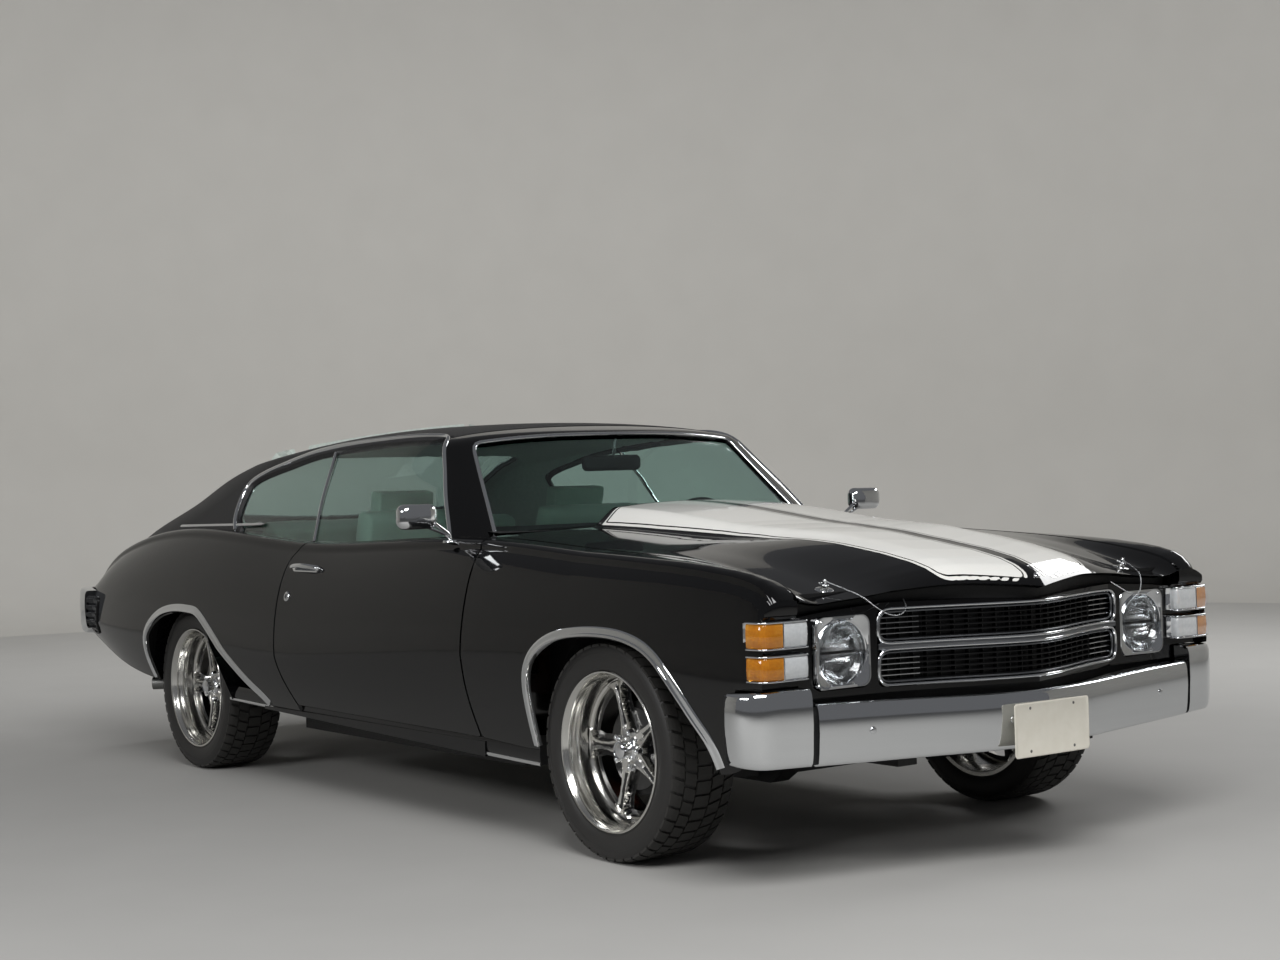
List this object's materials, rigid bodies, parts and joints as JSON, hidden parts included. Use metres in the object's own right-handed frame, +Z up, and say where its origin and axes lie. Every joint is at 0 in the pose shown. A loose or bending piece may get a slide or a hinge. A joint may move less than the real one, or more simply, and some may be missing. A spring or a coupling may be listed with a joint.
{
  "type": "muscle car",
  "caption": "Two-door hardtop muscle car with striped bulged hood, vinyl roof, chrome bumpers, five-spoke wheels, opening doors, hood and trunk lid, and steered front wheels.",
  "frame": {"origin": "on the ground under the middle of the car's length and width", "axes": "+X forward along the car's length, +Y to the driver's left, +Z up"},
  "size_m": [5.016, 2.1, 1.3391],
  "materials": {
    "black_paint": "gloss black enamel",
    "roof_vinyl": "fine-grained black vinyl",
    "tinted_glass": "lightly green tinted glass",
    "lens_glass": "clear fluted lens glass",
    "amber_lens": "clear and amber moulded lens",
    "red_lens": "red moulded lens",
    "bright_trim": "polished chrome plating",
    "grille_black": "satin black grille moulding",
    "frame_black": "satin black chassis paint",
    "engine_metal": "painted cast iron",
    "bare_steel": "bare and galvanised steel",
    "radiator_black": "matt black fins and tanks",
    "plate_paint": "cream painted plate",
    "dash_black": "matt black padding",
    "wheel_black": "black moulded rim",
    "seat_vinyl": "light green vinyl",
    "mirror_chrome": "chromed shell",
    "tyre_rubber": "black tread rubber",
    "rim_metal": "machined and polished metal"
  },
  "bodies": {
    "chassis": {"fender_left": "black_paint", "fender_right": "black_paint", "quarter_left": "black_paint", "quarter_right": "black_paint", "frame": "frame_black", "underbody": "black_paint", "windshield_frame": "black_paint", "roof": "roof_vinyl", "windshield": "tinted_glass", "rear_window": "tinted_glass", "quarter_glass": "tinted_glass", "rear_deck": "black_paint", "front_panel": "black_paint", "grille": "grille_black", "headlamps": "lens_glass", "turn_lamps": "amber_lens", "front_bumper": "bright_trim", "rear_bumper": "bright_trim", "tail_lamps": "red_lens", "front_plate": "plate_paint", "engine": "engine_metal", "radiator": "radiator_black", "inner_fenders": "frame_black", "front_suspension": "frame_black", "rear_axle": "frame_black", "exhaust": "bare_steel", "fuel_tank": "bare_steel", "dashboard": "dash_black", "steering_wheel": "wheel_black", "front_seats": "seat_vinyl", "rear_seat": "seat_vinyl", "room_mirror": "mirror_chrome"},
    "door_left": {"door_left": "black_paint", "door_glass_left": "tinted_glass", "door_mirror_left": "mirror_chrome"},
    "door_right": {"door_right": "black_paint", "door_glass_right": "tinted_glass", "door_mirror_right": "mirror_chrome"},
    "hood": {"hood": "black_paint", "hood_pins": "bright_trim", "lanyard_left": "bare_steel", "lanyard_right": "bare_steel"},
    "trunk_lid": {"trunk_lid": "black_paint"},
    "knuckle_left": {"knuckle_left": "bare_steel"},
    "knuckle_right": {"knuckle_right": "bare_steel"},
    "wheel_front_left": {"tyre_front_left": "tyre_rubber", "rim_front_left": "rim_metal"},
    "wheel_front_right": {"tyre_front_right": "tyre_rubber", "rim_front_right": "rim_metal"},
    "wheel_rear_left": {"tyre_rear_left": "tyre_rubber", "rim_rear_left": "rim_metal"},
    "wheel_rear_right": {"tyre_rear_right": "tyre_rubber", "rim_rear_right": "rim_metal"}
  },
  "joints": [
    {"name": "steer_left", "type": "hinge", "parent": "chassis", "child": "knuckle_left", "pos_m": [1.571, 0.6735, 0.325], "axis": [0, 0, 1], "range_deg": [-32, 32]},
    {"name": "steer_right", "type": "hinge", "parent": "chassis", "child": "knuckle_right", "pos_m": [1.571, -0.6735, 0.325], "axis": [0, 0, 1], "range_deg": [-32, 32]},
    {"name": "spin_front_left", "type": "hinge", "parent": "knuckle_left", "child": "wheel_front_left", "pos_m": [1.571, 0.7635, 0.325], "axis": [0, 1, 0], "continuous": true},
    {"name": "spin_front_right", "type": "hinge", "parent": "knuckle_right", "child": "wheel_front_right", "pos_m": [1.571, -0.7635, 0.325], "axis": [0, 1, 0], "continuous": true},
    {"name": "spin_rear_left", "type": "hinge", "parent": "chassis", "child": "wheel_rear_left", "pos_m": [-1.274, 0.7635, 0.325], "axis": [0, 1, 0], "continuous": true},
    {"name": "spin_rear_right", "type": "hinge", "parent": "chassis", "child": "wheel_rear_right", "pos_m": [-1.274, -0.7635, 0.325], "axis": [0, 1, 0], "continuous": true},
    {"name": "open_door_left", "type": "hinge", "parent": "chassis", "child": "door_left", "pos_m": [0.83685, 0.9265, 0.56], "axis": [0, 0, -1], "range_deg": [0, 65]},
    {"name": "open_door_right", "type": "hinge", "parent": "chassis", "child": "door_right", "pos_m": [0.83685, -0.9265, 0.56], "axis": [0, 0, 1], "range_deg": [0, 65]},
    {"name": "open_hood", "type": "hinge", "parent": "chassis", "child": "hood", "pos_m": [0.74, 0, 0.925], "axis": [0, -1, 0], "range_deg": [0, 48]},
    {"name": "open_trunk", "type": "hinge", "parent": "chassis", "child": "trunk_lid", "pos_m": [-1.77586, 0, 0.945], "axis": [0, 1, 0], "range_deg": [0, 70]}
  ],
  "couplings": [
    {"joint": "steer_right", "follows": "steer_left", "ratio": 1}
  ]
}
